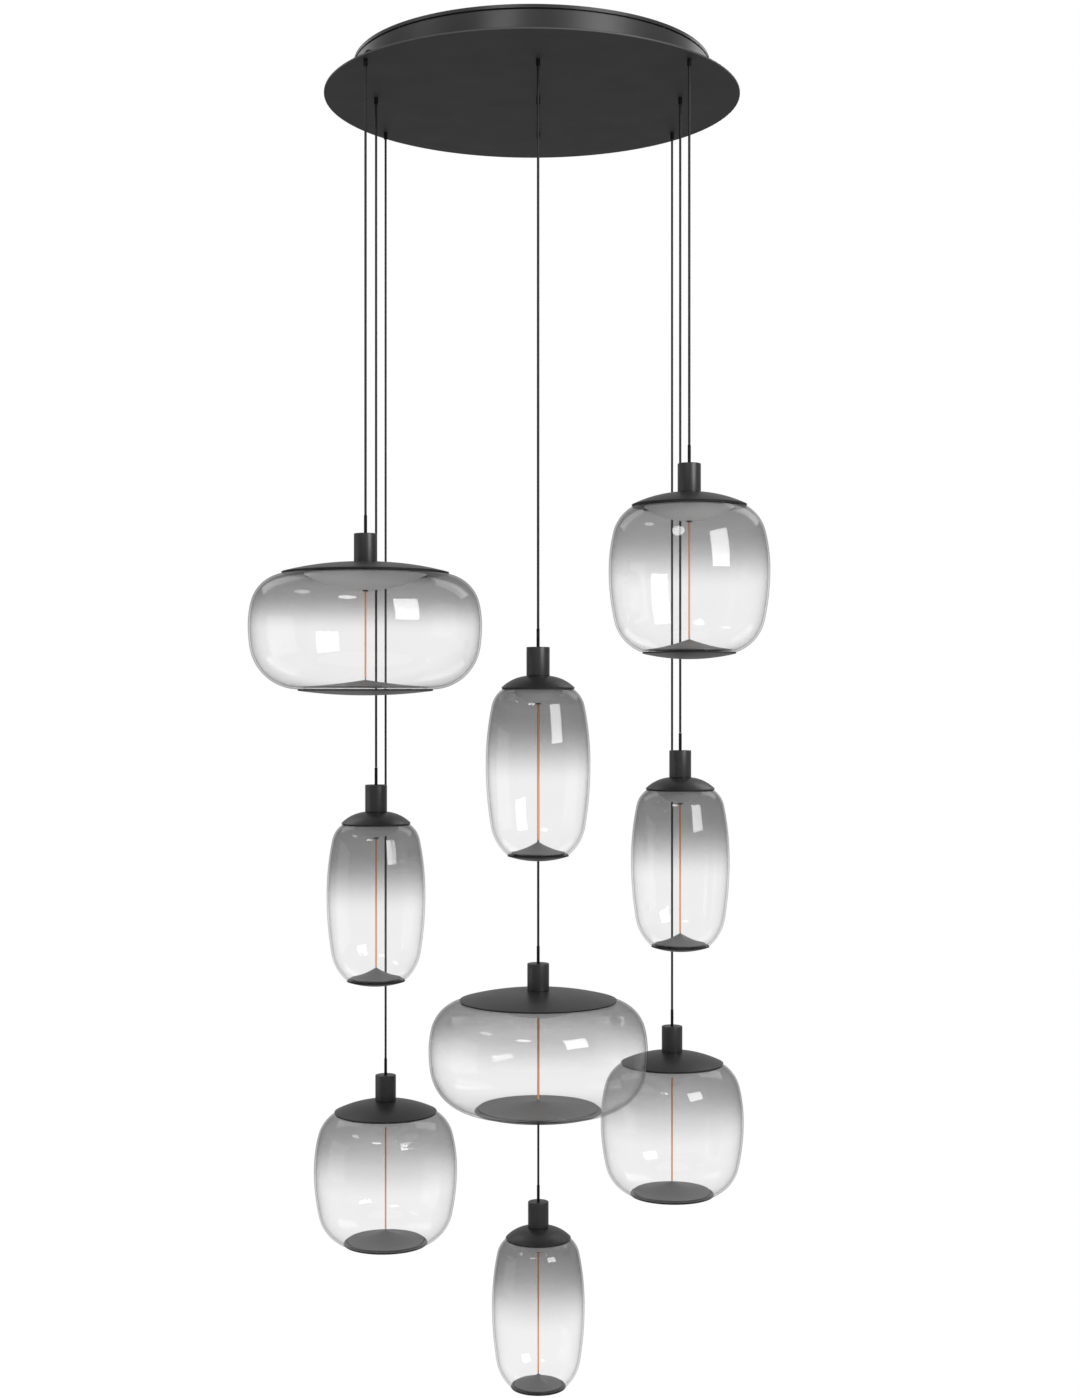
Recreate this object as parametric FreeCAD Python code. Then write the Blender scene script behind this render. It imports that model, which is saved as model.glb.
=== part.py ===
import FreeCAD, Part
import math
import os
from FreeCAD import Vector

# Cluster pendant: nine blown-glass shades of three forms, each hung on its own cord
# from one round canopy. Millimetres. The origin is at the middle of the canopy, on the
# ceiling, with +Z up and the viewer's side at -Y, so every piece lies below z = 0.

# Cords
CORD_R = 1.7
CORD_END_GAP = 0.4  # between a hanging cord's end and the fitting it runs into
CORD_BORE_CLEARANCE = 0.05

# Canopy: a ceiling plate, a drum that hooks round it, and a wider disc under the drum
CANOPY_HEIGHT = 48.0
DISC_R = 300.0
DISC_THICKNESS = 3.0
DISC_EDGE_ROUND = 0.8
DRUM_R = 257.0
DRUM_WALL = 1.2
DRUM_FLANGE = 14.0
CEILING_SHEET = 1.5
CEILING_RIM = 4.5
SHADOW_GAP = 2.5
SHADOW_DEPTH = 3.8
COLLAR_FIT = 0.3
CEILING_RING_DEPTH = 12.0
GRUB_R = 1.2
GRUB_COUNT = 4
GRUB_LENGTH = 2.7

# Fixings of the canopy
CEILING_SCREW_R = 3.25
CEILING_SCREW_PCD = 300.0
CEILING_SCREWS = 4
ENTRY_HOLE_R = 10.0
ENTRY_BORE_R = 6.0
ENTRY_LIP = 2.0
GROMMET_LIP = 1.0
GROMMET_SLACK = 0.1
STUD_R = 2.0
STUD_COUNT = 8
STUD_HEIGHT = 7.0
STUD_HOLE_CLEARANCE = 0.2
NUT_FLATS = 7.0
NUT_HEIGHT = 3.2

# Cord glands in the disc, and the cords' tails above it
GLAND_R = 2.9
GLAND_LENGTH = 10.0
GLAND_NECK_R = 2.45
GLAND_NECK_RISE = 2.5
GLAND_NUT_FLATS = 8.0
GLAND_NUT_HEIGHT = 2.0
WALL_HOLE_R = 3.0
WALL_GROMMET_R = 4.5
TAIL_LEVEL = 35.5  # below the ceiling
TAIL_BEND = 6.8
TAIL_TURN_IN = 205.0  # radius at which a tail from the overhang turns to its terminal

# Terminal strip on the disc, driver on the ceiling plate, lead between them
STRIP_X = 9.0
STRIP_Y = 60.0
STRIP_WAYS = 9
STRIP_PITCH = 9.0
STRIP_END = 5.0
STRIP_WIDTH = 16.0
STRIP_HEIGHT = 14.0
STRIP_BASE = 5.0
STRIP_POST_WIDTH = 7.0
STRIP_STUD_R = 1.5
STRIP_STUD_SPACING = 45.0
STRIP_SHOULDER_R = 3.0
STRIP_NUT_FLATS = 5.5
STRIP_NUT_HEIGHT = 2.4
STRIP_SCREW_R = 1.6
WIRE_DEPTH = 4.0
DRIVER_X = 115.0
DRIVER_Y = -40.0
DRIVER_LENGTH = 180.0
DRIVER_WIDTH = 42.0
DRIVER_HEIGHT = 20.0
DRIVER_EAR = 10.0
DRIVER_EAR_THICKNESS = 2.0
DRIVER_SCREW_R = 1.9
DRIVER_SCREW_HEAD_R = 3.6
DRIVER_SCREW_HEAD = 2.4
LEAD_R = 2.5
LEAD_WAY = 4
LEAD_BEND = 12.0

# Lampholder on top of each shade
HOLDER_R = 15.8
HOLDER_HEIGHT = 39.0
HOLDER_WALL = 1.2
HOLDER_TOP = 1.5
HOLDER_ROUND = 1.0
HOLDER_FOOT_ROUND = 0.6
GRIP_R = 2.2
GRIP_LENGTH = 25.0
GRIP_FLANGE_R = 4.0
GRIP_FLANGE = 2.0
CORD_IN_HOLDER = 8.0
CORE_TOP = 10.0
CORE_GAP = 0.1
TUBE_R = 4.0
TUBE_BORE_R = 3.0
THREAD_CLEARANCE = 0.05
CAP_NUT_FLATS = 13.0
CAP_NUT_HEIGHT = 3.0

# Spun metal, glass and light source of each shade
SPUN_WALL = 1.2
GLASS_WALL = 2.5
CROWN_HOLE_R = 5.0
CROWN_FLAT_R = 24.0
SEAL_WIDTH = 4.0
SEAL_RECESS = 1.0
DISH_REST_GAP = 0.3
SOCKET_R = 3.75
SOCKET_HEIGHT = 2.0
SOCKET_STEM = 8.0
FILAMENT_R = 1.3
END_PIN_R = 0.9
END_PIN_SHOWN = 2.7
END_PIN_HIDDEN = 4.0
FOOT_LEDGE = 9.0
FOOT_SEAL = 1.8
FOOT_FLANGE = 1.0
SEAT_GAP = 0.05  # between curved faces that seat on each other
CONE_INSET = 6.0
CONE_TIP_R = 1.6
CONE_TIP_STEEPNESS = 1.5  # the slope at the tip, in slopes of the whole cone
POST_R = 3.0

# The three forms of shade. Radii are of the outside, and depths go down from the glass's
# top rim. Headings are in degrees: 0 runs outward, 90 down and 180 inward. The side of
# a shade is four arcs: rim to shoulder, shoulder to belly, belly to hip, hip to foot.
SHADES = {
    "tall": {
        "cap_r": 49.9,
        "cap_drop": 16.1,
        "cap_heading": 5.5,
        "rim_gap": 3.2,
        "rim_r": 49.8,
        "rim_heading": 38.5,
        "shoulder_heading": 78.5,
        "belly_r": 71.0,
        "belly_depth": 99.8,
        "hip_heading": 99.2,
        "foot_heading": 139.2,
        "foot_r": 42.0,
        "height": 223.1,
        "dish_r": 34.0,
        "dish_depth": 17.6,
        "cone_height": 15.1,
        "foot_cap_depth": 7.0,
    },
    "square": {
        "cap_r": 78.2,
        "cap_drop": 16.9,
        "cap_heading": 4.5,
        "rim_gap": 3.5,
        "rim_r": 78.7,
        "rim_heading": 31.6,
        "shoulder_heading": 76.3,
        "belly_r": 109.2,
        "belly_depth": 84.9,
        "hip_heading": 102.5,
        "foot_heading": 160.3,
        "foot_r": 64.1,
        "height": 196.4,
        "dish_r": 61.0,
        "dish_depth": 18.3,
        "cone_height": 15.0,
        "foot_cap_depth": 7.7,
    },
    "wide": {
        "cap_r": 113.4,
        "cap_drop": 13.6,
        "cap_heading": 0.8,
        "rim_gap": 3.0,
        "rim_r": 114.9,
        "rim_heading": 11.8,
        "shoulder_heading": 76.5,
        "belly_r": 158.0,
        "belly_depth": 68.9,
        "hip_heading": 98.7,
        "foot_heading": 177.6,
        "foot_r": 92.2,
        "height": 156.0,
        "dish_r": 83.0,
        "dish_depth": 21.0,
        "cone_height": 10.4,
        "foot_cap_depth": 6.3,
    },
}

# Where each pendant hangs: three columns across and three rows back
COLUMNS = {"left": -225.0, "centre": 9.0, "right": 214.0}
ROWS = {"front": -182.0, "middle": -12.3, "back": 160.9}

# row, column, form, depth of the lampholder's top below the ceiling, way in the strip
# (counted from its middle) and the side of the strip on which the tail arrives
PENDANTS = [
    ("front", "left", "wide", 691.6, -3, -1),
    ("front", "right", "square", 596.6, 2, -1),
    ("front", "centre", "tall", 845.5, -2, -1),
    ("middle", "left", "tall", 1039.7, -4, -1),
    ("middle", "right", "tall", 990.0, 3, -1),
    ("middle", "centre", "wide", 1297.4, 0, -1),
    ("back", "right", "square", 1417.0, 3, 1),
    ("back", "left", "square", 1491.8, -3, 1),
    ("back", "centre", "tall", 1686.0, 0, 1),
]

DISC_TOP = -(CANOPY_HEIGHT - DISC_THICKNESS)
DISC_BOTTOM = -CANOPY_HEIGHT
GLAND_MOUTH = DISC_BOTTOM - GLAND_LENGTH
CORD_BORE_R = CORD_R + CORD_BORE_CLEARANCE
UP = Vector(0, 0, 1)


# ---------------------------------------------------------------- outlines and solids


def on_plane(point):
    """A point of an outline, (distance from the axis, depth), in the XZ plane."""
    return Vector(point[0], 0, -point[1])


def line(start, end):
    return Part.LineSegment(on_plane(start), on_plane(end)).toShape()


def lines(*points):
    return [line(a, b) for a, b in zip(points, points[1:])]


def arc(start, heading, end):
    """The arc that leaves start at heading, in degrees, and arrives at end."""
    across = end[0] - start[0]
    down = end[1] - start[1]
    chord = math.atan2(down, across)
    bulge = math.hypot(across, down) / 2 * math.tan((chord - math.radians(heading)) / 2)
    middle = (
        (start[0] + end[0]) / 2 + bulge * math.sin(chord),
        (start[1] + end[1]) / 2 - bulge * math.cos(chord),
    )
    return Part.Arc(on_plane(start), on_plane(middle), on_plane(end)).toShape()


def arrival(start, heading, end):
    """The heading, in degrees, at which that arc arrives."""
    return 2 * math.degrees(math.atan2(end[1] - start[1], end[0] - start[0])) - heading


def two_arcs(start, heading, between, end, arriving):
    """Two tangent arcs, with the heading between them that is asked for."""
    a, b, c = (math.radians(x) for x in (heading, between, arriving))
    first = (math.sin(b) - math.sin(a), math.cos(a) - math.cos(b))
    second = (math.sin(c) - math.sin(b), math.cos(b) - math.cos(c))
    across = end[0] - start[0]
    down = end[1] - start[1]
    radius = (across * second[1] - down * second[0]) / (first[0] * second[1] - first[1] * second[0])
    joint = (start[0] + radius * first[0], start[1] + radius * first[1])
    return [arc(start, heading, joint), arc(joint, between, end)]


def inset(point, heading, wall):
    """The point beside an outline, a wall's thickness in from it."""
    turn = math.radians(heading)
    return (point[0] - wall * math.sin(turn), point[1] + wall * math.cos(turn))


def depth_on_arc(start, heading, end, r, wall=0.0):
    """How deep that arc, or its parallel a wall further in, is at a distance from the axis."""
    turn = math.radians(heading)
    half = math.atan2(end[1] - start[1], end[0] - start[0]) - turn
    radius = math.hypot(end[0] - start[0], end[1] - start[1]) / 2 / math.sin(half)
    side = math.copysign(1.0, radius)
    middle = (start[0] - radius * math.sin(turn), start[1] + radius * math.cos(turn))
    return middle[1] - side * math.sqrt((abs(radius) - side * wall) ** 2 - (r - middle[0]) ** 2)


def turned(edges):
    """The solid that a closed outline makes when it turns round the axis."""
    wire = Part.Wire(Part.__sortEdges__(edges))
    return Part.Face(wire).revolve(Vector(0, 0, 0), UP, 360)


def turned_lines(*points):
    return turned(lines(*points, points[0]))


def ring(inner, outer, top, bottom):
    """A plain ring between two depths."""
    return turned_lines((inner, top), (outer, top), (outer, bottom), (inner, bottom))


def rod(radius, top, bottom):
    return Part.makeCylinder(radius, bottom - top, Vector(0, 0, -bottom))


def hexagon(flats, low, high, bore, x=0.0, y=0.0):
    """A hexagon nut from one height to another."""
    corner = flats / math.sqrt(3)
    points = [
        Vector(x + corner * math.cos(a), y + corner * math.sin(a), low)
        for a in (math.radians(60 * i) for i in range(7))
    ]
    body = Part.Face(Part.makePolygon(points)).extrude(Vector(0, 0, high - low))
    return body.cut(Part.makeCylinder(bore, high - low, Vector(x, y, low)))


def box(x, y, low, length, width, height):
    """A box centred on x and y, standing on low."""
    return Part.makeBox(length, width, height, Vector(x - length / 2, y - width / 2, low))


def round_places(count, radius, first=0.0):
    """Points evenly round the axis, each with its angle in degrees."""
    angles = [first + 360.0 / count * i for i in range(count)]
    return [
        (radius * math.cos(math.radians(a)), radius * math.sin(math.radians(a)), a)
        for a in angles
    ]


def rounded_route(points, largest):
    """Straight runs joined by tangent arcs, and the radii of the arcs."""
    edges = []
    radii = []
    here = points[0]
    for before, corner, after in zip(points, points[1:], points[2:]):
        back = before - corner
        on = after - corner
        turn = math.pi - back.getAngle(on)
        radius = min(largest, 0.45 * min(back.Length, on.Length) / math.tan(turn / 2))
        reach = radius * math.tan(turn / 2)
        back.normalize()
        on.normalize()
        start = corner + back * reach
        end = corner + on * reach
        inward = back + on
        inward.normalize()
        middle = corner + inward * (radius / math.cos(turn / 2) - radius)
        edges.append(Part.LineSegment(here, start).toShape())
        edges.append(Part.Arc(start, middle, end).toShape())
        radii.append(radius)
        here = end
    edges.append(Part.LineSegment(here, points[-1]).toShape())
    return Part.Wire(edges), radii


def tube(points, radius, largest_bend, name):
    """A round cable along a route; prints its length, its bends and a check of its volume."""
    wire, radii = rounded_route(points, largest_bend)
    section = Part.Wire(Part.makeCircle(radius, points[0], points[1] - points[0]))
    solid = wire.makePipeShell([section], True, False)
    share = solid.Volume / (math.pi * radius**2 * wire.Length)
    bends = ", ".join(f"{r:.1f}" for r in radii)
    print(f"{name}: length {wire.Length:.1f}, bends {bends}, volume/section*length {share:.4f}")
    return solid


# --------------------------------------------------------------------------- canopy


def where(row, column):
    return COLUMNS[column], ROWS[row]


def gland_places():
    return [where(row, column) for row, column, *_ in PENDANTS]


def outside_drum(x, y):
    """Whether a gland sits in the disc's overhang, so that its tail enters through the wall."""
    return math.hypot(x, y) > DRUM_R - DRUM_FLANGE


def overhang_angles():
    return [math.degrees(math.atan2(y, x)) for x, y in gland_places() if outside_drum(x, y)]


def collar_radii():
    outer = DRUM_R - SHADOW_DEPTH
    return outer - DRUM_WALL, outer


def driver_screw_places():
    reach = DRIVER_LENGTH / 2 + DRIVER_EAR / 2
    return [(DRIVER_X, DRIVER_Y - reach), (DRIVER_X, DRIVER_Y + reach)]


def strip_stud_places():
    half = STRIP_STUD_SPACING / 2
    return [(STRIP_X - half, STRIP_Y), (STRIP_X + half, STRIP_Y)]


def drum_stud_places():
    middle_of_flange = DRUM_R - DRUM_FLANGE / 2
    return round_places(STUD_COUNT, middle_of_flange, 180.0 / STUD_COUNT)


def ceiling_plate():
    """Pressed steel pan that is screwed to the ceiling. Its inner ring carries the drum."""
    ring_outer = collar_radii()[0] - COLLAR_FIT
    ring_inner = ring_outer - DRUM_WALL
    rim_inner = DRUM_R - CEILING_SHEET
    plate = turned_lines(
        (0, 0),
        (DRUM_R, 0),
        (DRUM_R, CEILING_RIM),
        (rim_inner, CEILING_RIM),
        (rim_inner, CEILING_SHEET),
        (ring_outer, CEILING_SHEET),
        (ring_outer, CEILING_RING_DEPTH),
        (ring_inner, CEILING_RING_DEPTH),
        (ring_inner, CEILING_SHEET),
        (0, CEILING_SHEET),
    )
    holes = [Part.makeCylinder(ENTRY_HOLE_R, CEILING_SHEET, Vector(0, 0, -CEILING_SHEET))]
    for x, y, _ in round_places(CEILING_SCREWS, CEILING_SCREW_PCD / 2):
        place = Vector(x, y, -CEILING_SHEET)
        holes.append(Part.makeCylinder(CEILING_SCREW_R, CEILING_SHEET, place))
    for x, y in driver_screw_places():
        radius = DRIVER_SCREW_R + THREAD_CLEARANCE
        holes.append(Part.makeCylinder(radius, CEILING_SHEET, Vector(x, y, -CEILING_SHEET)))
    return [plate.cut(Part.makeCompound(holes))]


def entry_grommet():
    """Rubber grommet in the ceiling plate, through which the supply cable comes down."""
    lip_r = ENTRY_HOLE_R + ENTRY_LIP
    below = CEILING_SHEET + ENTRY_LIP
    return [
        turned_lines(
            (ENTRY_BORE_R, 0),
            (ENTRY_HOLE_R, 0),
            (ENTRY_HOLE_R, CEILING_SHEET),
            (lip_r, CEILING_SHEET),
            (lip_r, below),
            (ENTRY_BORE_R, below),
        )
    ]


def radial_rod(radius, start, length, angle, height):
    """A rod that points outward from the axis."""
    turn = math.radians(angle)
    outward = Vector(math.cos(turn), math.sin(turn), 0)
    return Part.makeCylinder(radius, length, outward * start + UP * height, outward)


def grub_height():
    return -(CEILING_RIM + SHADOW_GAP / 2)


def grub_angles():
    return [a for _, _, a in round_places(GRUB_COUNT, DRUM_R, 180.0 / GRUB_COUNT)]


def canopy_drum():
    """Rolled sheet drum: collar in the shadow gap, shoulder, wall and inward flange."""
    collar_inner, collar_outer = collar_radii()
    shoulder = CEILING_RIM + SHADOW_GAP
    bottom = -DISC_TOP
    drum = turned_lines(
        (collar_inner, CEILING_SHEET + CORD_END_GAP),
        (collar_outer, CEILING_SHEET + CORD_END_GAP),
        (collar_outer, shoulder),
        (DRUM_R, shoulder),
        (DRUM_R, bottom),
        (DRUM_R - DRUM_FLANGE, bottom),
        (DRUM_R - DRUM_FLANGE, bottom - DRUM_WALL),
        (DRUM_R - DRUM_WALL, bottom - DRUM_WALL),
        (DRUM_R - DRUM_WALL, shoulder + DRUM_WALL),
        (collar_inner, shoulder + DRUM_WALL),
    )
    holes = [
        radial_rod(WALL_HOLE_R, DRUM_R - 2 * DRUM_WALL, 3 * DRUM_WALL, a, -TAIL_LEVEL)
        for a in overhang_angles()
    ]
    holes += [
        radial_rod(GRUB_R, collar_inner - DRUM_WALL, 3 * DRUM_WALL, a, grub_height())
        for a in grub_angles()
    ]
    for x, y, _ in drum_stud_places():
        radius = STUD_R + STUD_HOLE_CLEARANCE
        holes.append(Part.makeCylinder(radius, DRUM_WALL, Vector(x, y, DISC_TOP)))
    return [drum.cut(Part.makeCompound(holes))]


def grub_screws():
    """Four headless screws in the shadow gap, which bear on the ceiling plate's ring."""
    start = collar_radii()[0] - COLLAR_FIT
    return [radial_rod(GRUB_R, start, GRUB_LENGTH, a, grub_height()) for a in grub_angles()]


def wall_grommets():
    """Rubber grommets where the outer cords' tails pass through the drum's wall."""
    middle = DRUM_R - DRUM_WALL / 2
    half_groove = DRUM_WALL / 2 + GROMMET_SLACK
    half = half_groove + GROMMET_LIP
    grommets = []
    for angle in overhang_angles():
        body = radial_rod(WALL_GROMMET_R, middle - half, 2 * half, angle, -TAIL_LEVEL)
        start = middle - half_groove
        groove = radial_rod(WALL_GROMMET_R, start, 2 * half_groove, angle, -TAIL_LEVEL)
        core_r = WALL_HOLE_R - THREAD_CLEARANCE
        core = radial_rod(core_r, start, 2 * half_groove, angle, -TAIL_LEVEL)
        bore = radial_rod(CORD_BORE_R, middle - half, 2 * half, angle, -TAIL_LEVEL)
        grommets.append(body.cut(groove).fuse(core).cut(bore).removeSplitter())
    return grommets


def strip_low():
    return -(TAIL_LEVEL + STRIP_HEIGHT / 2)


def canopy_plate():
    """The disc with its welded studs, drilled for the nine glands."""
    disc = Part.makeCylinder(DISC_R, DISC_THICKNESS, Vector(0, 0, DISC_BOTTOM))
    disc = disc.makeFillet(DISC_EDGE_ROUND, [e for e in disc.Edges if isinstance(e.Curve, Part.Circle)])
    for x, y in gland_places():
        disc = disc.cut(Part.makeCylinder(GLAND_NECK_R, DISC_THICKNESS, Vector(x, y, DISC_BOTTOM)))
    studs = [
        Part.makeCylinder(STUD_R, STUD_HEIGHT, Vector(x, y, DISC_TOP))
        for x, y, _ in drum_stud_places()
    ]
    shoulder = strip_low() - DISC_TOP
    length = shoulder + STRIP_HEIGHT + STRIP_NUT_HEIGHT
    for x, y in strip_stud_places():
        collar = Part.makeCylinder(STRIP_SHOULDER_R, shoulder, Vector(x, y, DISC_TOP))
        stud = Part.makeCylinder(STRIP_STUD_R, length, Vector(x, y, DISC_TOP))
        studs.append(collar.fuse(stud))
    return [disc] + studs


def canopy_nuts():
    """Nuts on the disc's studs: eight hold the drum's flange and two hold the strip."""
    on_flange = DISC_TOP + DRUM_WALL
    on_strip = strip_low() + STRIP_HEIGHT
    nuts = [
        hexagon(NUT_FLATS, on_flange, on_flange + NUT_HEIGHT, STUD_R, x, y)
        for x, y, _ in drum_stud_places()
    ]
    nuts += [
        hexagon(STRIP_NUT_FLATS, on_strip, on_strip + STRIP_NUT_HEIGHT, STRIP_STUD_R, x, y)
        for x, y in strip_stud_places()
    ]
    return nuts


def cord_glands():
    """Slim black glands: a barrel under the disc and a threaded neck through it."""
    bottom = -GLAND_MOUTH
    disc_bottom = -DISC_BOTTOM
    top = -DISC_TOP - GLAND_NECK_RISE
    gland = turned_lines(
        (CORD_BORE_R, top),
        (GLAND_NECK_R, top),
        (GLAND_NECK_R, disc_bottom),
        (GLAND_R, disc_bottom),
        (GLAND_R, bottom),
        (CORD_BORE_R, bottom),
    )
    return [gland.translated(Vector(x, y, 0)) for x, y in gland_places()]


def gland_nuts():
    top = DISC_TOP + GLAND_NUT_HEIGHT
    return [hexagon(GLAND_NUT_FLATS, DISC_TOP, top, GLAND_NECK_R, x, y) for x, y in gland_places()]


def way_x(way):
    return STRIP_X + way * STRIP_PITCH


def cord_tails():
    """The upper end of each cord: through its gland, along the canopy and into the strip."""
    tails = []
    level = -TAIL_LEVEL
    for row, column, _, _, way, side in PENDANTS:
        x, y = where(row, column)
        route = [Vector(x, y, GLAND_MOUTH), Vector(x, y, level)]
        if outside_drum(x, y):
            inward = TAIL_TURN_IN / math.hypot(x, y)
            route.append(Vector(x * inward, y * inward, level))
        face = STRIP_Y + side * STRIP_WIDTH / 2
        if abs(way_x(way) - x) > CORD_R:
            route.append(Vector(way_x(way), face + side * 3 * STRIP_PITCH, level))
        route.append(Vector(way_x(way), face - side * WIRE_DEPTH, level))
        tails.append(tube(route, CORD_R, TAIL_BEND, f"tail {row} {column}"))
    return tails


def terminal_strip():
    """Moulded strip of screw terminals: a base with a post over each way."""
    ways = range(-(STRIP_WAYS // 2), STRIP_WAYS // 2 + 1)
    length = STRIP_WAYS * STRIP_PITCH + 2 * STRIP_END
    low = strip_low()
    strip = box(STRIP_X, STRIP_Y, low, length, STRIP_WIDTH, STRIP_BASE)
    posts = [
        box(way_x(w), STRIP_Y, low, STRIP_POST_WIDTH, STRIP_WIDTH, STRIP_HEIGHT) for w in ways
    ]
    posts += [
        Part.makeCylinder(STRIP_SHOULDER_R, STRIP_HEIGHT, Vector(x, y, low))
        for x, y in strip_stud_places()
    ]
    strip = strip.fuse(posts)
    holes = []
    for w in ways:
        bore = LEAD_R + CORD_BORE_CLEARANCE if w == LEAD_WAY else CORD_BORE_R
        start = Vector(way_x(w), STRIP_Y - STRIP_WIDTH / 2, -TAIL_LEVEL)
        holes.append(Part.makeCylinder(bore, STRIP_WIDTH, start, Vector(0, 1, 0)))
        above = Vector(way_x(w), STRIP_Y, -TAIL_LEVEL)
        holes.append(Part.makeCylinder(STRIP_SCREW_R, STRIP_HEIGHT, above))
    for x, y in strip_stud_places():
        radius = STRIP_STUD_R + THREAD_CLEARANCE
        holes.append(Part.makeCylinder(radius, STRIP_HEIGHT, Vector(x, y, low)))
    return [strip.cut(Part.makeCompound(holes))]


def led_driver():
    """Driver for the light sources: a case with an ear at each end, under the ceiling plate."""
    low = -(CEILING_SHEET + DRIVER_HEIGHT)
    case = box(DRIVER_X, DRIVER_Y, low, DRIVER_WIDTH, DRIVER_LENGTH, DRIVER_HEIGHT)
    lower = [e for e in case.Edges if all(abs(v.Z - low) < 1e-6 for v in e.Vertexes)]
    case = case.makeChamfer(DRIVER_EAR_THICKNESS, lower)
    ear_low = -(CEILING_SHEET + DRIVER_EAR_THICKNESS)
    length = DRIVER_LENGTH + 2 * DRIVER_EAR
    ears = box(DRIVER_X, DRIVER_Y, ear_low, DRIVER_WIDTH / 2, length, DRIVER_EAR_THICKNESS)
    holes = [
        Part.makeCylinder(DRIVER_SCREW_R + THREAD_CLEARANCE, DRIVER_EAR_THICKNESS, Vector(x, y, ear_low))
        for x, y in driver_screw_places()
    ]
    return [case.fuse(ears).cut(Part.makeCompound(holes))]


def driver_screws():
    head_top = -(CEILING_SHEET + DRIVER_EAR_THICKNESS)
    shank = CEILING_SHEET + DRIVER_EAR_THICKNESS
    screws = []
    for x, y in driver_screw_places():
        head = Part.makeCylinder(
            DRIVER_SCREW_HEAD_R, DRIVER_SCREW_HEAD, Vector(x, y, head_top - DRIVER_SCREW_HEAD)
        )
        screws.append(head.fuse(Part.makeCylinder(DRIVER_SCREW_R, shank, Vector(x, y, head_top))))
    return screws


def driver_lead():
    """The cable from the driver's end down to the last way of the strip."""
    out_z = -(CEILING_SHEET + DRIVER_HEIGHT / 2)
    out_y = DRIVER_Y + DRIVER_LENGTH / 2
    level = -TAIL_LEVEL
    x = way_x(LEAD_WAY)
    face = STRIP_Y + STRIP_WIDTH / 2
    run = 2 * STRIP_PITCH
    route = [
        Vector(DRIVER_X, out_y, out_z),
        Vector(DRIVER_X, out_y + 3 * STRIP_PITCH, out_z),
        Vector((DRIVER_X + x) / 2, face + run, (out_z + level) / 2),
        Vector(x, face + run, level),
        Vector(x, face - WIRE_DEPTH, level),
    ]
    return [tube(route, LEAD_R, LEAD_BEND, "driver lead")]


# -------------------------------------------------------------------------- pendants
# Every piece of a pendant is drawn about its own axis, with depths that go down from
# the top of the lampholder. The cap's seat is at the lampholder's foot.


def levels(form):
    """The depths that the pieces of one form share."""
    s = SHADES[form]
    cap_rim = HOLDER_HEIGHT + s["cap_drop"]
    glass_rim = cap_rim + s["rim_gap"]
    foot = glass_rim + s["height"]
    foot_inner = inset((s["foot_r"], foot), s["foot_heading"], GLASS_WALL)
    return {
        "cap_rim": cap_rim,
        "glass_rim": glass_rim,
        "belly": glass_rim + s["belly_depth"],
        "foot": foot,
        "foot_inner": foot_inner,
        "dish": glass_rim + s["dish_depth"],
        "cone_tip": foot_inner[1] - s["cone_height"],
        "cap_edge": foot + FOOT_SEAL,
        "bottom": foot + FOOT_SEAL + s["foot_cap_depth"],
    }


def crown_of(form):
    """Start, heading and end of the arc of glass that is hidden under the cap."""
    s = SHADES[form]
    rim = (s["rim_r"], levels(form)["glass_rim"])
    rise = (s["rim_r"] - CROWN_FLAT_R) * math.tan(math.radians(s["rim_heading"]) / 2)
    return (CROWN_FLAT_R, rim[1] - rise), 0.0, rim


def cap_of(form):
    """Start, heading and end of the arc along the top of the metal cap."""
    s = SHADES[form]
    return (HOLDER_R, HOLDER_HEIGHT), s["cap_heading"], (s["cap_r"], levels(form)["cap_rim"])


def lampholder(form):
    """Cord grip, holder cup, its core, the threaded tube with its nut, and the cap."""
    level = levels(form)
    bore = TUBE_R + THREAD_CLEARANCE
    grip = turned_lines(
        (CORD_BORE_R, -GRIP_LENGTH),
        (GRIP_R, -GRIP_LENGTH),
        (GRIP_R, HOLDER_TOP),
        (GRIP_FLANGE_R, HOLDER_TOP),
        (GRIP_FLANGE_R, HOLDER_TOP + GRIP_FLANGE),
        (CORD_BORE_R, HOLDER_TOP + GRIP_FLANGE),
    )
    gripped_cord = rod(CORD_R, -GRIP_LENGTH, CORD_IN_HOLDER)
    corner = (HOLDER_R - HOLDER_ROUND, 0)
    foot = (HOLDER_R - HOLDER_FOOT_ROUND, HOLDER_HEIGHT)
    inside = HOLDER_R - HOLDER_WALL
    cup = turned(
        lines((GRIP_R, 0), corner)
        + [arc(corner, 0, (HOLDER_R, HOLDER_ROUND))]
        + lines((HOLDER_R, HOLDER_ROUND), (HOLDER_R, HOLDER_HEIGHT - HOLDER_FOOT_ROUND))
        + [arc((HOLDER_R, HOLDER_HEIGHT - HOLDER_FOOT_ROUND), 90, foot)]
        + lines(foot, (inside, HOLDER_HEIGHT), (inside, HOLDER_TOP), (GRIP_R, HOLDER_TOP), (GRIP_R, 0))
    )
    core = ring(bore, inside - CORE_GAP, CORE_TOP, HOLDER_HEIGHT)
    tube_end = level["dish"] - SPUN_WALL - SEAT_GAP
    nut_top = CORE_TOP - CAP_NUT_HEIGHT
    carrier = ring(TUBE_BORE_R, TUBE_R, nut_top, tube_end)
    nut = hexagon(CAP_NUT_FLATS, -CORE_TOP, -nut_top, bore)
    return [grip, gripped_cord, cup, core, carrier, nut, cap(form)]


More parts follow.
